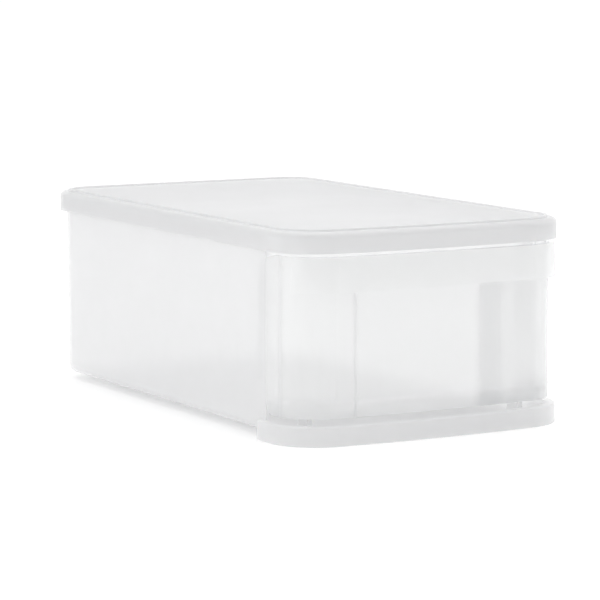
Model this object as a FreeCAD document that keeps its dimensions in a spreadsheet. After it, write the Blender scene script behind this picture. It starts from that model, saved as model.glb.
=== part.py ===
import FreeCAD, Part
import math
import os

import Sketcher
from FreeCAD import Placement, Rotation, Vector

# A stackable shoe box of moulded plastic. The tray-like body carries a lift-off lid, and a clear
# door that wraps both front corners drops forward about two pins in lugs on the floor.
# Frame: X across, Y front to back with the front at -Y, Z up, origin under the middle of the box.

SIZES = [
    # overall plan and height
    ("width", 206, "across the lid"),
    ("depth", 356, "front to back over the lid"),
    ("height", 132, "ground to the lid's flat top, the pitch of a stack"),
    ("bow", 5.6, "how far the front bulges past its corners"),
    ("front_radius", 34, "plan radius of the lid's front corners"),
    ("rear_radius", 27, "plan radius of the lid's rear corners"),
    ("overhang", 4.6, "how far lid and foot stand out past the walls"),
    # body
    ("wall", 1.8, "wall and floor of the body"),
    ("floor_rise", 4.5, "ground to the underside of the floor"),
    ("rear_draft", 1.4, "how far the rear wall leans in at its foot"),
    ("bottom_radius", 6, "rounding under the walls"),
    ("seam_depth", 47, "front plane to the front edges of the side walls"),
    ("foot_height", 12.7, "ground to the shelf on the front foot"),
    ("foot_depth", 50, "front plane to the rear ends of the foot"),
    ("foot_wall", 2, "skin of the foot"),
    ("foot_radius", 1.5, "rounding along the foot's outer edges"),
    ("rim_wall", 2, "height of the rim under the lid"),
    ("rim_drop", 6, "rim top below the top of the walls"),
    ("rear_foot_length", 34, "pads under the rear of the floor, along Y"),
    ("rear_foot_width", 12, "the same pads, along X"),
    ("rear_foot_inset", 34, "the same pads, in from the lid's outline"),
    ("rear_foot_radius", 4, "corners of the same pads"),
    # hinge
    ("hinge_depth", 18, "front plane to the hinge axis"),
    ("rest_gap", 0.5, "open door above the shelf"),
    ("pin_radius", 2.6, "hinge pin"),
    ("pin_clearance", 0.05, "gap all round the pin in its lug"),
    ("boss_radius", 4.4, "shoulder that carries the pin"),
    ("lug_radius", 5.6, "eye of the lug"),
    ("lug_wall", 3.5, "thickness of the lug"),
    ("shoulder_length", 4, "least length of the shoulder, from the door's corner"),
    ("lug_length", 14, "foot of the lug along Y"),
    ("lug_gap", 0.7, "shoulder to lug, and door edge to the lug's stem"),
    # door
    ("door_wall", 1.8, "clear panel"),
    ("door_gap", 4, "shelf to the door's bottom edge"),
    ("seam_gap", 0.6, "door to the side walls' front edges"),
    ("ear_sweep", 0.1, "how far its lower rear corners swing past its rear edges"),
    ("lip_height", 21.7, "pull lip along the door's top"),
    ("lip_wall", 1.6, "skin of the pull lip"),
    ("lip_flare", 1, "how far the lip leans out at its bottom"),
    ("lip_web", 1.8, "web that joins the lip to the panel"),
    ("lip_depth", 17, "front plane to the lip's ends"),
    ("sweep_gap", 0.6, "least gap as the door's top passes under the lid's skirt"),
    ("flange_wall", 1.5, "side flanges inside the body's walls"),
    ("flange_gap", 0.5, "side flange to the body's wall"),
    ("flange_back", 61.5, "front plane to the flanges' rear edges"),
    ("flange_bottom", 52, "ground to the flanges' lower ends"),
    ("flange_drop", 0.6, "flange top below the lip's top"),
    ("flange_radius", 5, "lower rear corners of the flanges"),
    ("flange_lap", 7, "length over which flange and door join"),
    # lid
    ("lid_wall", 2, "skirt of the lid"),
    ("lid_plate", 2, "top of the lid"),
    ("skirt_height", 13.2, "skirt of the lid, top included"),
    ("lid_radius", 4, "rounding along the lid's top edge"),
    ("lid_gap", 2.4, "skirt to the top of the pull lip"),
    ("lid_seat", 0.3, "lid above the walls"),
    ("rib_gap", 0.8, "locating rib to the inside of the walls"),
    ("rib_wall", 1.4, "locating rib under the lid"),
    ("rib_height", 3, "locating rib under the lid"),
    ("rim_gap", 0.5, "rim to the inside of the skirt"),
    ("ridge_inset", 6, "stacking ridge, in from the lid's outline"),
    ("ridge_width", 2, "stacking ridge"),
    ("ridge_height", 1.2, "stacking ridge above the lid's top"),
]

LEFT, RIGHT = -1, 1
START, END, CENTRE = 1, 2, 3
ORIGIN = (-1, START)
Y_AXIS = -2
TOUCH = 1e-3  # mm or mm3, below which two measures count as the same
PAST = 1  # mm, by which a cut runs on past what it trims

doc = FreeCAD.newDocument("shoe_box")
sheet = doc.addObject("Spreadsheet::Sheet", "sizes")


class Size:
    """A number together with the expression that gives it, so that both are worked out once."""

    def __init__(self, value, text):
        self.value = float(value)
        self.text = text

    def join(self, other, sign, value):
        text = other.text if isinstance(other, Size) else repr(other)
        return Size(value, f"({self.text} {sign} {text})")

    def __add__(self, other):
        return self.join(other, "+", self.value + number(other))

    def __sub__(self, other):
        return self.join(other, "-", self.value - number(other))

    def __mul__(self, other):
        return self.join(other, "*", self.value * number(other))

    def __truediv__(self, other):
        return self.join(other, "/", self.value / number(other))

    def __neg__(self):
        return Size(-self.value, f"(0 - {self.text})")

    def root(self):
        return Size(math.sqrt(self.value), f"sqrt({self.text})")


def number(thing):
    return thing.value if isinstance(thing, Size) else float(thing)


class Sheet:
    """The driving dimensions, one attribute each."""

    def __init__(self, rows):
        for row, (name, value, note) in enumerate(rows, start=1):
            sheet.set(f"A{row}", name)
            sheet.set(f"B{row}", str(value))
            sheet.set(f"C{row}", note)
            sheet.setAlias(f"B{row}", name)
            setattr(self, name, Size(value, f"sizes.{name}"))


s = Sheet(SIZES)
doc.recompute()

# --- values that follow from the driving dimensions ---------------------------------------------

half_width = s.width / 2
half_depth = s.depth / 2
zero = s.width * 0
bow_radius = (half_width * half_width + s.bow * s.bow) / (s.bow * 2)
bow_centre = bow_radius - half_depth
bow_reach = bow_radius - s.front_radius
corner_x = half_width - s.front_radius
corner_y = bow_centre - (bow_reach * bow_reach - corner_x * corner_x).root()
body_inset = s.overhang
body_inside = s.overhang + s.wall
door_inside = s.overhang + s.door_wall
lid_inside_top = s.height - s.lid_plate
wall_top = lid_inside_top - s.lid_seat
floor_top = s.floor_rise + s.wall
rim_top = wall_top - s.rim_drop
skirt_bottom = s.height - s.skirt_height
door_top = skirt_bottom - s.lid_gap
door_bottom = s.foot_height + s.door_gap
lip_bottom = door_top - s.lip_height
hinge_height = s.foot_height + s.rest_gap + s.hinge_depth - s.overhang
hinge_y = s.hinge_depth - half_depth
shoulder_front = corner_y - hinge_y + s.boss_radius
corner_inside = s.front_radius - door_inside
shoulder_root = (corner_inside * corner_inside - shoulder_front * shoulder_front).root()
shoulder_face = corner_x + shoulder_root - s.shoulder_length
lug_outer = shoulder_face - s.lug_gap
lug_inner = lug_outer - s.lug_wall
flange_outside = body_inside + s.flange_gap
flange_inside = flange_outside + s.flange_wall
door_back = s.seam_depth - s.seam_gap
ear_reach = door_back - s.hinge_depth + s.ear_sweep
ear_drop = hinge_height - door_bottom
ear_slack = s.ear_sweep * 2 * (ear_reach - ear_drop)
ear_radius = ear_drop - s.ear_sweep - ear_slack.root()
top_rise = door_top - hinge_height
top_sweep = top_rise + s.lid_gap - s.sweep_gap
relief_front = hinge_y + (top_sweep * top_sweep - top_rise * top_rise).root()


# --- PartDesign helpers --------------------------------------------------------------------------


def new_body(name):
    body = doc.addObject("PartDesign::Body", name)
    body.Label = name
    body.AllowCompound = True
    return body


def new_sketch(body, name, plane, offset=None):
    """A sketch on one of the body's own origin planes, moved along that plane's normal."""
    sketch = body.newObject("Sketcher::SketchObject", name)
    support = next(f for f in body.Origin.OriginFeatures if f.Role == plane)
    sketch.AttachmentSupport = [(support, "")]
    sketch.MapMode = "FlatFace"
    if offset is not None:
        sketch.AttachmentOffset = Placement(Vector(0, 0, offset.value), Rotation())
        sketch.setExpression(".AttachmentOffset.Base.z", offset.text)
    return sketch


def dimension(sketch, kind, places, size):
    """A driving dimension between points, bound to its expression."""
    index = sketch.addConstraint(Sketcher.Constraint(kind, *places, size.value))
    sketch.setExpression(f"Constraints[{index}]", size.text)


def place(sketch, kind, point, size):
    """Sets one coordinate of a point from the origin, either side of it."""
    if size.value >= 0:
        dimension(sketch, kind, (*ORIGIN, *point), size)
    else:
        dimension(sketch, kind, (*point, *ORIGIN), -size)


def radius_of(sketch, arc, size):
    dimension(sketch, "Radius", (arc,), size)


def link(sketch, kind, first, second):
    """Joins the end of one curve to the start of the next."""
    sketch.addConstraint(Sketcher.Constraint(kind, first, END, second, START))


def line(sketch, x0, y0, x1, y1):
    return sketch.addGeometry(Part.LineSegment(Vector(x0, y0, 0), Vector(x1, y1, 0)))


def arc(sketch, x, y, radius, start, end):
    circle = Part.Circle(Vector(x, y, 0), Vector(0, 0, 1), radius)
    return sketch.addGeometry(Part.ArcOfCircle(circle, start, end))


def front_curves(sketch, inset):
    """Left corner, bow and right corner of the plan outline, counter-clockwise, tangent."""
    x, y = corner_x.value, corner_y.value
    meet = math.atan2(y - bow_centre.value, x)
    radius = s.front_radius - inset
    bow = bow_radius - inset
    left = arc(sketch, -x, y, radius.value, -math.pi, -math.pi - meet)
    front = arc(sketch, 0, bow_centre.value, bow.value, -math.pi - meet, meet)
    right = arc(sketch, x, y, radius.value, meet, 0)
    link(sketch, "Tangent", left, front)
    link(sketch, "Tangent", front, right)
    radius_of(sketch, front, bow)
    sketch.addConstraint(Sketcher.Constraint("PointOnObject", front, CENTRE, Y_AXIS))
    place(sketch, "DistanceY", (front, CENTRE), bow_centre)
    radius_of(sketch, left, radius)
    sketch.addConstraint(Sketcher.Constraint("Equal", left, right))
    return left, right


def rear_curves(sketch, inset, lean):
    """Right corner, rear line and left corner of the plan outline."""
    radius = s.rear_radius - inset
    rear = half_depth - inset - lean
    x = half_width.value - s.rear_radius.value
    y = rear.value - radius.value
    right = arc(sketch, x, y, radius.value, 0, math.pi / 2)
    back = line(sketch, x, rear.value, -x, rear.value)
    left = arc(sketch, -x, y, radius.value, math.pi / 2, math.pi)
    link(sketch, "Tangent", right, back)
    link(sketch, "Tangent", back, left)
    sketch.addConstraint(Sketcher.Constraint("Horizontal", back))
    place(sketch, "DistanceY", (back, START), rear)
    radius_of(sketch, right, radius)
    sketch.addConstraint(Sketcher.Constraint("Equal", right, left))
    return right, left, y


def side_line(sketch, side, inset, start, end):
    """One straight side of the plan outline, from Y start to Y end."""
    x = (half_width - inset) * side
    side_edge = line(sketch, x.value, start, x.value, end)
    sketch.addConstraint(Sketcher.Constraint("Vertical", side_edge))
    place(sketch, "DistanceX", (side_edge, START), x)
    return side_edge


def outline(sketch, inset, lean=zero):
    """The whole plan outline, set in from the lid's, with the rear moved in by lean."""
    front_left, front_right = front_curves(sketch, inset)
    rear_right, rear_left, rear_y = rear_curves(sketch, inset, lean)
    right = side_line(sketch, RIGHT, inset, corner_y.value, rear_y)
    left = side_line(sketch, LEFT, inset, rear_y, corner_y.value)
    link(sketch, "Tangent", front_right, right)
    link(sketch, "Tangent", right, rear_right)
    link(sketch, "Tangent", rear_left, left)
    link(sketch, "Tangent", left, front_left)


def close_band(sketch, outer, inner, reach):
    """Straight ends between two nested open outlines, at Y of reach behind the front plane."""
    end_y = reach - half_depth
    for outer_point, inner_point in zip(outer, inner):
        place(sketch, "DistanceY", outer_point, end_y)
        points = [sketch.getPoint(*p) for p in (outer_point, inner_point)]
        cap = line(sketch, points[0].x, points[0].y, points[1].x, points[1].y)
        sketch.addConstraint(Sketcher.Constraint("Coincident", cap, START, *outer_point))
        sketch.addConstraint(Sketcher.Constraint("Coincident", cap, END, *inner_point))
        sketch.addConstraint(Sketcher.Constraint("Horizontal", cap))


def front_run(sketch, inset, reach):
    """The open outline round the front, and its two end points."""
    end_y = reach.value - half_depth.value
    front_left, front_right = front_curves(sketch, inset)
    left = side_line(sketch, LEFT, inset, end_y, corner_y.value)
    right = side_line(sketch, RIGHT, inset, corner_y.value, end_y)
    link(sketch, "Tangent", left, front_left)
    link(sketch, "Tangent", front_right, right)
    return (left, START), (right, END)


def rear_run(sketch, inset, reach):
    """The open outline round the rear, and its two end points."""
    end_y = reach.value - half_depth.value
    rear_right, rear_left, rear_y = rear_curves(sketch, inset, zero)
    right = side_line(sketch, RIGHT, inset, end_y, rear_y)
    left = side_line(sketch, LEFT, inset, rear_y, end_y)
    link(sketch, "Tangent", right, rear_right)
    link(sketch, "Tangent", rear_left, left)
    return (right, START), (left, END)


def band(sketch, run, outer_inset, inner_inset, reach):
    """A strip that follows the outline between two insets."""
    outer = run(sketch, outer_inset, reach)
    inner = run(sketch, inner_inset, reach)
    close_band(sketch, outer, inner, reach)


def rectangle(sketch, x0, x1, y0, y1):
    corners = [(x0, y0), (x1, y0), (x1, y1), (x0, y1)]
    edges = polygon(sketch, corners)
    for index, edge in enumerate(edges):
        kind = "Vertical" if index % 2 else "Horizontal"
        sketch.addConstraint(Sketcher.Constraint(kind, edge))
    for index, kind, size in ((0, "X", x0), (2, "X", x1), (0, "Y", y0), (2, "Y", y1)):
        place(sketch, f"Distance{kind}", (edges[index], START), size)
    return edges


def polygon(sketch, corners):
    edges = []
    for here, after in zip(corners, corners[1:] + corners[:1]):
        edges.append(line(sketch, here[0].value, here[1].value, after[0].value, after[1].value))
    for here, after in zip(edges, edges[1:] + edges[:1]):
        link(sketch, "Coincident", here, after)
    return edges


def circle(sketch, x, y, radius):
    shape = Part.Circle(Vector(x.value, y.value, 0), Vector(0, 0, 1), radius.value)
    ring = sketch.addGeometry(shape)
    place(sketch, "DistanceX", (ring, CENTRE), x)
    place(sketch, "DistanceY", (ring, CENTRE), y)
    radius_of(sketch, ring, radius)
    return ring


def check(feature):
    if not {"Invalid", "Error"}.isdisjoint(feature.State):
        raise RuntimeError(f"{feature.Label} failed: {feature.State}")


def volume(body):
    return 0 if body.Tip is None or body.Shape.isNull() else body.Shape.Volume


def extrude(body, kind, name, sketch, length, reverse=False):
    """A Pad or Pocket of a sketch, which has to change the body's volume."""
    before = volume(body)
    feature = body.newObject(f"PartDesign::{kind}", name)
    feature.Profile = sketch
    feature.Length = length.value
    feature.setExpression("Length", length.text)
    feature.Reversed = reverse
    return finish_feature(body, feature, before)


def finish_feature(body, feature, before):
    body.Tip = feature
    doc.recompute()
    check(feature)
    if abs(body.Shape.Volume - before) < TOUCH:
        raise RuntimeError(f"{feature.Label} changed nothing")
    return feature


def loft(body, kind, name, lower, upper):
    before = volume(body)
    feature = body.newObject(f"PartDesign::{kind}", name)
    feature.Profile = lower
    feature.Sections = [upper]
    feature.Ruled = True
    return finish_feature(body, feature, before)


def fillet(body, name, size, chosen):
    """Rounds the edges of the body's tip for which chosen is true."""
    base = body.Tip
    edges = [f"Edge{i}" for i, e in enumerate(base.Shape.Edges, start=1) if chosen(e)]
    before = base.Shape.Volume
    feature = body.newObject("PartDesign::Fillet", name)
    feature.Base = (base, edges)
    feature.Radius = size.value
    feature.setExpression("Radius", size.text)
    return finish_feature(body, feature, before)


def mirror(body, name, features):
    """The same features on the other side of the middle plane."""
    before = body.Shape.Volume
    feature = body.newObject("PartDesign::Mirrored", name)
    feature.Originals = features
    plane = next(f for f in body.Origin.OriginFeatures if f.Role == "YZ_Plane")
    feature.MirrorPlane = (plane, [""])
    return finish_feature(body, feature, before)


def level_at(height):
    """Picks the edges that lie level at a height."""

    def chosen(edge):
        box = edge.BoundBox
        return abs(box.ZMin - height.value) < TOUCH and abs(box.ZMax - height.value) < TOUCH

    return chosen


def outermost_at(height):
    """Picks the level edges that run along the lid's outline, without the ends across it."""
    level = level_at(height)

    def chosen(edge):
        box = edge.BoundBox
        at_side = max(box.XMax, -box.XMin) > half_width.value - TOUCH
        at_front = box.YMin < -half_depth.value + TOUCH
        return level(edge) and (at_side or at_front) and box.YLength > TOUCH

    return chosen


# --- body: floor, side and rear walls, front foot, rim and hinge lugs -----------------------------


def build_body():
    body = new_body("body")
    add_shell(body)
    add_foot(body)
    add_rim(body)
    add_rear_feet(body)
    add_lugs(body)
    return body


def add_shell(body):
    """A block with a leaning rear wall, hollowed from above, rounded below, its front cut away."""
    for kind, name, inset, bottom in (
        ("AdditiveLoft", "block", body_inset, s.floor_rise),
        ("SubtractiveLoft", "hollow", body_inside, floor_top),
    ):
        lower = new_sketch(body, f"{name}_bottom", "XY_Plane", bottom)
        outline(lower, inset, s.rear_draft)
        upper = new_sketch(body, f"{name}_top", "XY_Plane", wall_top)
        outline(upper, inset)
        loft(body, kind, name, lower, upper)
    fillet(body, "inner_bottom_edge", s.bottom_radius - s.wall, level_at(floor_top))
    fillet(body, "bottom_edge", s.bottom_radius, level_at(s.floor_rise))
    front = new_sketch(body, "front_cut_plan", "XY_Plane", s.foot_height)
    rectangle(front, -half_width, half_width, -half_depth, s.seam_depth - half_depth)
    extrude(body, "Pocket", "front_cut", front, wall_top - s.foot_height, reverse=True)


def add_foot(body):
    """A skin, a shelf and two end walls round the front, hollow from below."""
    skin = new_sketch(body, "foot_skin_plan", "XY_Plane")
    band(skin, front_run, zero, s.foot_wall, s.foot_depth)
    extrude(body, "Pad", "foot_skin", skin, s.foot_height)
    shelf = new_sketch(body, "shelf_plan", "XY_Plane", s.foot_height - s.foot_wall)
    band(shelf, front_run, zero, body_inside, s.foot_depth)
    extrude(body, "Pad", "shelf", shelf, s.foot_wall)
    ends = new_sketch(body, "foot_ends_plan", "XY_Plane")
    outer = half_width - s.foot_wall / 2
    inner = half_width - s.overhang - s.wall / 2
    front = s.foot_depth - s.foot_wall - half_depth
    back = s.foot_depth - half_depth
    rectangle(ends, inner, outer, front, back)
    right = extrude(body, "Pad", "foot_end", ends, s.foot_height)
    mirror(body, "foot_ends", [right])
    fillet(body, "foot_top_edge", s.foot_radius, outermost_at(s.foot_height))
    fillet(body, "foot_bottom_edge", s.foot_radius / 2, outermost_at(zero))


def add_rim(body):
    """A rim round the sides and rear that keeps the walls straight under the lid's skirt."""
    rim = new_sketch(body, "rim_plan", "XY_Plane", rim_top - s.rim_wall)
    outer = s.lid_wall + s.rim_gap
    band(rim, rear_run, outer, s.overhang + s.wall / 2, s.foot_depth)
    extrude(body, "Pad", "rim", rim, s.rim_wall)


def add_rear_feet(body):
    """Two pads under the rear of the floor that stand level with the front foot."""
    plan = new_sketch(body, "rear_foot_plan", "XY_Plane")
    outer = half_width - s.rear_foot_inset
    back = half_depth - s.rear_foot_inset
    rectangle(plan, outer - s.rear_foot_width, outer, back - s.rear_foot_length, back)
    right = extrude(body, "Pad", "rear_foot", plan, s.floor_rise + s.wall / 2)
    mirror(body, "rear_feet", [right])

    def upright(edge):
        box = edge.BoundBox
        return abs(box.ZMin) < TOUCH and box.ZLength > TOUCH and box.YMin > 0

    fillet(body, "rear_foot_corners", s.rear_foot_radius, upright)


def add_lugs(body):
    """An eye for the hinge pin on a stem behind the door's sweep, on each side of the floor."""
    side = new_sketch(body, "lug_side", "YZ_Plane", lug_inner)
    stem_front = hinge_y + hinge_height - door_bottom + s.lug_gap
    stem_back = stem_front + s.lug_length
    foot = floor_top - s.wall / 2
    over = hinge_height + s.lug_radius
    under = hinge_height - s.lug_radius
    corners = [(hinge_y, under), (stem_front, under), (stem_front, foot)]
    corners += [(stem_back, foot), (stem_front, over), (hinge_y, over)]
    edges = []
    for here, after in zip(corners, corners[1:]):
        edges.append(line(side, here[0].value, here[1].value, after[0].value, after[1].value))
    for here, after in zip(edges, edges[1:]):
        link(side, "Coincident", here, after)
    for index, point in enumerate(corners[:-1]):
        place(side, "DistanceX", (edges[index], START), point[0])
        place(side, "DistanceY", (edges[index], START), point[1])
    eye = arc(side, hinge_y.value, hinge_height.value, s.lug_radius.value, math.pi / 2, math.pi * 1.5)
    link(side, "Tangent", edges[-1], eye)
    link(side, "Coincident", eye, edges[0])
    radius_of(side, eye, s.lug_radius)
    place(side, "DistanceX", (eye, CENTRE), hinge_y)
    circle(side, hinge_y, hinge_height, s.pin_radius + s.pin_clearance)
    right = extrude(body, "Pad", "lug", side, s.lug_wall)
    mirror(body, "lugs", [right])


# --- door: clear panel round both corners, pull lip, side flanges and pins ------------------------


def build_door():
    body = new_body("door")
    add_lip(body)
    panel = new_sketch(body, "panel_plan", "XY_Plane", door_bottom)
    band(panel, front_run, s.overhang, door_inside, door_back)
    extrude(body, "Pad", "panel", panel, door_top - door_bottom)
    fillet(body, "panel_corners", ear_radius, rear_corner(door_back, door_bottom))
    add_flanges(body)
    relieve_top(body)
    add_pins(body)
    return body


def rear_corner(reach, height):
    """Picks the short edges across a rear edge of the door at a height."""

    def chosen(edge):
        box = edge.BoundBox
        at_back = abs(box.YMin - (reach - half_depth).value) < TOUCH and box.YLength < TOUCH
        return at_back and box.ZLength < TOUCH and abs(box.ZMin - height.value) < TOUCH

    return chosen


def relieve_top(body):
    """Trims the upper rear corners to an arc about the hinge, so that they swing under the lid."""
    side = new_sketch(body, "relief_side", "YZ_Plane", -half_width)
    back = s.flange_back + PAST - half_depth
    run = back - hinge_y
    low = hinge_height + (top_sweep * top_sweep - run * run).root()
    over = door_top + PAST
    corners = [(relief_front, door_top), (relief_front, over), (back, over), (back, low)]
    edges = []
    for here, after in zip(corners, corners[1:]):
        edges.append(line(side, here[0].value, here[1].value, after[0].value, after[1].value))
    start = math.atan2(low.value - hinge_height.value, run.value)
    end = math.atan2(top_rise.value, (relief_front - hinge_y).value)
    sweep = arc(side, hinge_y.value, hinge_height.value, top_sweep.value, start, end)
    for here, after in zip(edges + [sweep], edges[1:] + [sweep, edges[0]]):
        link(side, "Coincident", here, after)
    for index in (0, 1, 2):
        kind = "Horizontal" if index == 1 else "Vertical"
        side.addConstraint(Sketcher.Constraint(kind, edges[index]))
    place(side, "DistanceY", (edges[0], START), door_top)
    place(side, "DistanceY", (edges[1], START), over)
    place(side, "DistanceX", (edges[2], START), back)
    place(side, "DistanceX", (sweep, CENTRE), hinge_y)
    place(side, "DistanceY", (sweep, CENTRE), hinge_height)
    radius_of(side, sweep, top_sweep)
    extrude(body, "Pocket", "top_relief", side, s.width, reverse=True)


def add_flanges(body):
    """Strips that run on behind the seam, just inside the body's side walls."""
    top = door_top - s.flange_drop
    lap = new_sketch(body, "flange_lap_plan", "XY_Plane", s.flange_bottom)
    lap_front = door_back - s.flange_lap - half_depth
    seam = door_back - half_depth
    outer = half_width - s.overhang - s.door_wall / 2
    inner = half_width - flange_inside
    rectangle(lap, inner, outer, lap_front, seam)
    joint = extrude(body, "Pad", "flange_lap", lap, top - s.flange_bottom)
    strip = new_sketch(body, "flange_plan", "XY_Plane", s.flange_bottom)
    rectangle(strip, inner, half_width - flange_outside, lap_front, s.flange_back - half_depth)
    run = extrude(body, "Pad", "flange", strip, top - s.flange_bottom)
    mirror(body, "flanges", [joint, run])
    fillet(body, "flange_ends", s.flange_radius, rear_corner(s.flange_back, s.flange_bottom))


def add_lip(body):
    """A flared skin proud of the panel, hung from a web along the door's top."""
    skin = []
    for name, height, lean in (("low", lip_bottom, zero), ("high", door_top, s.lip_flare)):
        plan = new_sketch(body, f"lip_{name}_plan", "XY_Plane", height)
        band(plan, front_run, lean, lean + s.lip_wall, s.seam_depth)
        skin.append(plan)
    loft(body, "AdditiveLoft", "lip_skin", *skin)
    web = new_sketch(body, "lip_web_plan", "XY_Plane", door_top - s.lip_web)
    band(web, front_run, s.lip_flare + s.lip_wall / 2, s.overhang + s.door_wall / 2, s.seam_depth)
    extrude(body, "Pad", "lip_web", web, s.lip_web)
    ends = new_sketch(body, "lip_ends_plan", "XY_Plane", lip_bottom)
    rectangle(ends, -half_width, half_width, s.lip_depth - half_depth, s.foot_depth - half_depth)
    extrude(body, "Pocket", "lip_ends", ends, s.lip_height, reverse=True)


def add_pins(body):
    """A shoulder out to each front corner's wall, and the pin on it that turns in the lug."""
    shoulder = new_sketch(body, "shoulder_side", "YZ_Plane", shoulder_face)
    circle(shoulder, hinge_y, hinge_height, s.boss_radius)
    boss = body.newObject("PartDesign::Pad", "shoulder")
    boss.Profile = shoulder
    boss.Type = "UpToFirst"
    finish_feature(body, boss, volume(body))
    pin = new_sketch(body, "pin_side", "YZ_Plane", lug_inner - s.lug_gap)
    circle(pin, hinge_y, hinge_height, s.pin_radius)
    shaft = extrude(body, "Pad", "pin", pin, s.lug_wall + s.lug_gap * 3)
    mirror(body, "pins", [boss, shaft])


# --- lid: a plate with a rounded skirt, a locating rib and a stacking ridge ----------------------


def build_lid():
    body = new_body("lid")
    plate = new_sketch(body, "lid_plan", "XY_Plane", skirt_bottom)
    outline(plate, zero)
    extrude(body, "Pad", "lid_block", plate, s.skirt_height)
    fillet(body, "lid_edge", s.lid_radius, level_at(s.height))
    inside = new_sketch(body, "lid_inside_plan", "XY_Plane", skirt_bottom)
    outline(inside, s.lid_wall)
    extrude(body, "Pocket", "lid_inside", inside, s.skirt_height - s.lid_plate, reverse=True)
    rib_inset = body_inside + s.rib_gap
    ring(body, "rib", rib_inset, s.rib_wall, lid_inside_top - s.rib_height, s.rib_height)
    ring(body, "ridge", s.ridge_inset, s.ridge_width, s.height, s.ridge_height)
    return body


def ring(body, name, inset, width, bottom, height):
    """A closed strip along the outline."""
    plan = new_sketch(body, f"{name}_plan", "XY_Plane", bottom)
    outline(plan, inset)
    outline(plan, inset + width)
    extrude(body, "Pad", name, plan, height)


# --- build, check and write ---------------------------------------------------------------------

pieces = [build_body(), build_door(), build_lid()]
doc.recompute()
for thing in doc.Objects:
    check(thing)
os.makedirs("parts", exist_ok=True)
for piece in pieces:
    shape = piece.Shape
    if shape.isNull() or not shape.isValid() or len(shape.Solids) != 1:
        raise RuntimeError(f"{piece.Label} is not one valid solid: {len(shape.Solids)}")
    box = shape.BoundBox
    print(piece.Label, f"{shape.Volume:.0f} mm3", f"{box.XLength:.2f} {box.YLength:.2f} {box.ZLength:.2f}")
    shape.exportStep(f"parts/{piece.Label}.step")
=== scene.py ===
import math

import bpy
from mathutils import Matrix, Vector


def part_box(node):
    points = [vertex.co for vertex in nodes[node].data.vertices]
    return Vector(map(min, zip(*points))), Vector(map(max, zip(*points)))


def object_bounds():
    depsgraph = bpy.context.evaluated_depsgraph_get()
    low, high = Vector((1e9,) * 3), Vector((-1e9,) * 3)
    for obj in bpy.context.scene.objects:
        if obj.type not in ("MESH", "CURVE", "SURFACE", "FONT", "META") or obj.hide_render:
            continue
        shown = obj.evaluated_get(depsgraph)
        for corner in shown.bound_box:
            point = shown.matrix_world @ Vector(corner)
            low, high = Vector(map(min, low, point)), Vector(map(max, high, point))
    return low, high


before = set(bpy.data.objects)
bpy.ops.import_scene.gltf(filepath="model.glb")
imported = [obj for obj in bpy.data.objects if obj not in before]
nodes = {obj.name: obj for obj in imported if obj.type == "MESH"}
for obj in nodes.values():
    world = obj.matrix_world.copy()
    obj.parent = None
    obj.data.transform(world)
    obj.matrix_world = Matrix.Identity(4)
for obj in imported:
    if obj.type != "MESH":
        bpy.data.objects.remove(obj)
cad_low, cad_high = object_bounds()
centre = (cad_low + cad_high) / 2

# ---------------------------------------------------------------------------------------------
# Body. One milky moulding: floor, side and rear walls, the foot that stands out round the front
# corners and the two lugs on the floor that hold the door's pins. The walls scatter part of the
# light and let the rest straight through, and their surface has a fine grain.

MILKY = (0.89, 0.89, 0.892)
MILKY_COOL = (0.855, 0.859, 0.867)
MILKY_GLOW = (0.925, 0.925, 0.928)  # light that has come through a wall
WALL_SOLID = 0.50  # share of light that one face of a wall stops and scatters
WALL_ROUGHNESS = 0.30
ROUGHNESS_SPREAD = 0.08
SOLID_SPREAD = 0.10
WALL_CLEAR = (0.985, 0.985, 0.985)  # what is left of the light that goes straight through
GRAIN_DEPTH = 0.00006
FLOW_SCALE = 11  # cloudiness of the melt, per metre
GRAIN_SCALE = 2600  # fine grain, per metre


class Socket:
    """A node's output, so that shader maths reads as arithmetic."""

    def __init__(self, tree, output):
        self.tree = tree
        self.output = output

    def node(self, kind, settings=None, inputs=None, output=0):
        made = self.tree.nodes.new(kind)
        for name, value in (settings or {}).items():
            setattr(made, name, value)
        for name, value in (inputs or {}).items():
            if isinstance(value, Socket):
                self.tree.links.new(value.output, made.inputs[name])
            else:
                made.inputs[name].default_value = value
        return Socket(self.tree, made.outputs[output])

    def maths(self, operation, first, second):
        return self.node("ShaderNodeMath", {"operation": operation}, {0: first, 1: second})

    def __add__(self, other):
        return self.maths("ADD", self, other)

    def __radd__(self, other):
        return self.maths("ADD", other, self)

    def __sub__(self, other):
        return self.maths("SUBTRACT", self, other)

    def __rsub__(self, other):
        return self.maths("SUBTRACT", other, self)

    def __mul__(self, other):
        return self.maths("MULTIPLY", self, other)

    def __rmul__(self, other):
        return self.maths("MULTIPLY", other, self)

    def __pow__(self, other):
        return self.maths("POWER", self, other)

    def rise(self, low, high):
        """0 below low, 1 above high and smooth between them."""
        settings = {"interpolation_type": "SMOOTHSTEP"}
        return self.node("ShaderNodeMapRange", settings, {0: self, 1: low, 2: high})

    def noise(self, scale, detail=3.0, roughness=0.5):
        values = {"Vector": self, "Scale": scale, "Detail": detail, "Roughness": roughness}
        return self.node("ShaderNodeTexNoise", None, values, "Fac")

    def blend(self, low, high):
        """A colour between two, by this value."""
        settings = {"data_type": "RGBA"}
        return self.node("ShaderNodeMix", settings, {0: self, 6: (*low, 1), 7: (*high, 1)}, 2)

    def bump(self, distance, strength):
        values = {"Height": self, "Distance": distance, "Strength": strength}
        return self.node("ShaderNodeBump", None, values)

    def over(self, below, above):
        """A shader between two, by this value."""
        return self.node("ShaderNodeMixShader", None, {0: self, 1: below, 2: above})


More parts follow.
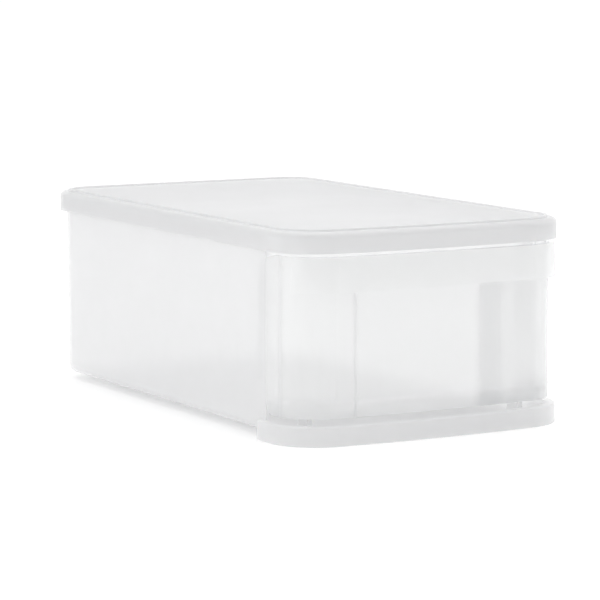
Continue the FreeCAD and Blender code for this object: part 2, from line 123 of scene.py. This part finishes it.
def new_material(name):
    """An empty material, a starting socket in object coordinates, and its surface input."""
    material = bpy.data.materials.new(name)
    material.use_nodes = True
    tree = material.node_tree
    tree.nodes.clear()
    start = Socket(tree, None)
    place = start.node("ShaderNodeTexCoord", None, None, "Object")
    end = tree.nodes.new("ShaderNodeOutputMaterial")
    return material, place, end


def finish_material(end, shader):
    shader.tree.links.new(shader.output, end.inputs["Surface"])


def milky_plastic(name, solid, roughness, glow):
    """Plastic that scatters light and lets a share of it straight through."""
    material, place, end = new_material(name)
    cloud = place.noise(FLOW_SCALE, 4.0)
    grain = place.noise(GRAIN_SCALE, 2.0)
    colour = cloud.blend(MILKY, MILKY_COOL)
    normal = grain.bump(GRAIN_DEPTH, 0.35)
    surface = place.node("ShaderNodeBsdfPrincipled", None, {
        "Base Color": colour,
        "Roughness": roughness + cloud * ROUGHNESS_SPREAD,
        "IOR": 1.49,
        "Normal": normal,
    })
    through = place.node("ShaderNodeBsdfTranslucent", None, {"Color": (*glow, 1), "Normal": normal})
    half = place.node("ShaderNodeMixShader", None, {0: 0.5, 1: surface, 2: through})
    open_share = place.node("ShaderNodeBsdfTransparent", None, {"Color": (*WALL_CLEAR, 1)})
    share = solid + (cloud - 0.5) * SOLID_SPREAD
    finish_material(end, share.over(open_share, half))
    return material


def paint(node, material):
    """Gives a CAD node its material."""
    mesh = nodes[node].data
    for slot in nodes[node].material_slots:
        slot.material = material
    if not nodes[node].material_slots:
        mesh.materials.append(material)


paint("body", milky_plastic("milky_polypropylene", WALL_SOLID, WALL_ROUGHNESS, MILKY_GLOW))

# ---------------------------------------------------------------------------------------------
# Lid. The same milky plastic, a little denser, moulded as one plate with a rounded skirt. It
# drops over the walls, and a low ridge runs round its top.

LID_SOLID = 0.66
LID_ROUGHNESS = 0.29
LID_GLOW = (0.78, 0.78, 0.785)

paint("lid", milky_plastic("lid_polypropylene", LID_SOLID, LID_ROUGHNESS, LID_GLOW))

# ---------------------------------------------------------------------------------------------
# Door. A clear moulding that bows forward and wraps both front corners, with a pull lip along
# its top. Its marks are colour and haze only: a fine line, a strip, a dark band along the bottom,
# and painted shade down each front corner, with a darker painted line along its edge.

CLEAR_TINT = (0.985, 0.987, 0.987)
CLEAR_HAZE = (0.95, 0.95, 0.95)
CLEAR_GLOW = (0.985, 0.985, 0.985)
CLEAR_RIM = (0.80, 0.81, 0.82)  # what is left of the light where it crosses at a slant
CLEAR_MARK_AND_SHADE = (0.56, 0.57, 0.58)  # haze colour where a mark is densest, and the colour of the painted shade on the front corners
GLOW_SHARE = 0.6  # how much of the haze is light that has come through
HAZE = 0.42  # share of light that one face scatters
RIPPLE_SCALE = 26  # per metre
SCUFF_SCALE = 420
LINE_WIDTH = 0.0016  # from the middle of the fine line to its edge
door_low, door_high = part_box("door")
SILL = (door_low.z + 0.0043, door_low.z + 0.0123)  # heights over which the dark bottom band fades
PANEL_TOP = door_high.z - 0.0217  # where the lip starts
FINE_LINE = door_low.x + 0.0404  # a fine upright line, and a darker strip on the other side
STRIP = (door_high.x - 0.0674, door_high.x - 0.0514, door_high.x - 0.0194)
CORNER_SHADE_EDGE = door_low.y + 0.0302  # a line down each front corner: painted shade behind it, where the corner misses the reflection that brightens the window


def clear_plastic(name):
    """A polished clear wall: what is behind shows through, under its own reflections."""
    material, place, end = new_material(name)
    x = place.node("ShaderNodeSeparateXYZ", None, {0: place}, "X")
    y = place.node("ShaderNodeSeparateXYZ", None, {0: place}, "Y")
    z = place.node("ShaderNodeSeparateXYZ", None, {0: place}, "Z")
    ripple = place.noise(RIPPLE_SCALE, 1.0)
    scuffs = place.noise(SCUFF_SCALE, 6.0, 0.7)
    normal = ripple.bump(0.0006, 0.25)
    below_lip = 1 - z.rise(PANEL_TOP - 0.0005, PANEL_TOP)
    line = x.rise(FINE_LINE - LINE_WIDTH, FINE_LINE)
    line = line * (1 - x.rise(FINE_LINE, FINE_LINE + LINE_WIDTH)) * below_lip
    start, middle, stop = STRIP
    strip = x.rise(start - 0.003, start + 0.003)
    strip = strip * (1 - x.rise(middle - 0.002, middle + 0.004) * 0.45)
    strip = strip * (1 - x.rise(stop - 0.003, stop + 0.003)) * below_lip
    sill = 1 - z.rise(*SILL)
    # painted shade: behind this edge each front corner is darker and hazier, and the edge itself is
    # a darker painted line, standing in for the reflection that the corner does not catch
    corner_shade = y.rise(CORNER_SHADE_EDGE - 0.0016, CORNER_SHADE_EDGE)
    corner_shade_line = corner_shade * (1 - y.rise(CORNER_SHADE_EDGE, CORNER_SHADE_EDGE + 0.0014))
    marks_and_shade = line * 0.6 + strip * 0.55 + sill * 0.5 + corner_shade * 0.25 + corner_shade_line * 0.5
    frosted = place.node("ShaderNodeBsdfPrincipled", None, {
        "Base Color": marks_and_shade.blend(CLEAR_HAZE, CLEAR_MARK_AND_SHADE),
        "Roughness": 0.3 + scuffs * 0.1,
        "Specular IOR Level": 0,
        "Normal": normal,
    })
    glow = place.node("ShaderNodeBsdfTranslucent", None, {"Color": (*CLEAR_GLOW, 1)})
    hazy = place.node("ShaderNodeMixShader", None, {0: GLOW_SHARE, 1: frosted, 2: glow})
    thin = place.node("ShaderNodeBsdfTransparent", None, {"Color": (*CLEAR_TINT, 1)})
    long_way = place.node("ShaderNodeBsdfTransparent", None, {"Color": (*CLEAR_RIM, 1)})
    turned = place.node("ShaderNodeLayerWeight", None, {"Blend": 0.5}, "Facing")
    clear = turned.rise(0.5, 1.0).over(thin, long_way)
    # the corner terms add the painted corner shade as extra haze
    share = HAZE + (line + strip) * 0.2 + sill * 0.25 + (corner_shade + corner_shade_line) * 0.12
    polish = place.node("ShaderNodeBsdfGlossy", None, {
        "Color": (1, 1, 1, 1),
        "Roughness": 0.05 + scuffs * 0.05,
        "Normal": normal,
    })
    mirror = 0.04 + turned ** 5 * 0.8
    finish_material(end, mirror.over(share.over(clear, hazy), polish))
    return material


paint("door", clear_plastic("clear_styrene"))

# ---------------------------------------------------------------------------------------------
# Studio. A pale floor under an even white sky, with one soft light from above and one from the
# front left, and a long lens that looks slightly down at the front left corner.

FLOOR_REACH = 12.0


def make_floor():
    mesh = bpy.data.meshes.new("floor")
    far = FLOOR_REACH
    corners = [(-far, -far, 0), (far, -far, 0), (far, far, 0), (-far, far, 0)]
    mesh.from_pydata(corners, [], [(0, 1, 2, 3)])
    floor = bpy.data.objects.new("floor", mesh)
    bpy.context.scene.collection.objects.link(floor)
    material, place, end = new_material("studio_paper")
    fibre = place.noise(35, 5.0)
    surface = place.node("ShaderNodeBsdfPrincipled", None, {
        "Base Color": fibre.blend((0.95, 0.95, 0.95), (0.97, 0.97, 0.97)),
        "Roughness": 0.75 + fibre * 0.1,
    })
    finish_material(end, surface)
    mesh.materials.append(material)


def soft_light(name, azimuth, elevation, distance, size, power):
    data = bpy.data.lights.new(name, "AREA")
    data.shape = "DISK"
    data.size = size
    data.energy = power
    light = bpy.data.objects.new(name, data)
    bpy.context.scene.collection.objects.link(light)
    point_at(light, azimuth, elevation, distance)


def point_at(thing, azimuth, elevation, distance):
    """Puts a light or camera on a sphere round the box, looking at its middle."""
    a, e = math.radians(azimuth), math.radians(elevation)
    back = Vector((math.sin(a) * math.cos(e), -math.cos(a) * math.cos(e), math.sin(e)))
    thing.location = centre + back * distance
    thing.rotation_mode = "QUATERNION"
    thing.rotation_quaternion = (-back).to_track_quat("-Z", "Y")


make_floor()
soft_light("overhead", 20, 78, 1.6, 1.4, 6)
soft_light("left", -80, 30, 1.8, 1.0, 4)

SKY = 1.20
DIM_SHARE = 0.74  # how much darker the room is behind the camera
DIM_AZIMUTH = -28  # degrees, towards the camera


def make_sky():
    """An even white sky, dimmer on the side that the front of the box faces."""
    world = bpy.data.worlds.new("white_sky")
    world.use_nodes = True
    tree = world.node_tree
    sky = tree.nodes["Background"]
    start = Socket(tree, None)
    ray = start.node("ShaderNodeTexCoord", None, None, "Generated")
    turn = math.radians(DIM_AZIMUTH)
    towards = (math.sin(turn), -math.cos(turn), 0)
    settings = {"operation": "DOT_PRODUCT"}
    facing = ray.node("ShaderNodeVectorMath", settings, {0: ray, 1: towards}, "Value")
    seen = start.node("ShaderNodeLightPath", None, None, "Is Camera Ray")
    dim = facing.rise(0.35, 0.95) * DIM_SHARE * (1 - seen)
    strength = SKY * (1 - dim)
    sky.inputs["Color"].default_value = (1, 1, 1, 1)
    tree.links.new(strength.output, sky.inputs["Strength"])
    bpy.context.scene.world = world


make_sky()

AZIMUTH = -29.5
ELEVATION = 7.3
DISTANCE = 1.99
LENS = 178

camera_data = bpy.data.cameras.new("camera")
camera_data.lens = LENS
camera_data.sensor_width = 36
camera = bpy.data.objects.new("camera", camera_data)
bpy.context.scene.collection.objects.link(camera)
point_at(camera, AZIMUTH, ELEVATION, DISTANCE)
bpy.context.scene.camera = camera

bpy.context.scene.view_settings.view_transform = "Standard"
bpy.context.scene.cycles.transparent_max_bounces = 32
bpy.context.scene.cycles.diffuse_bounces = 12
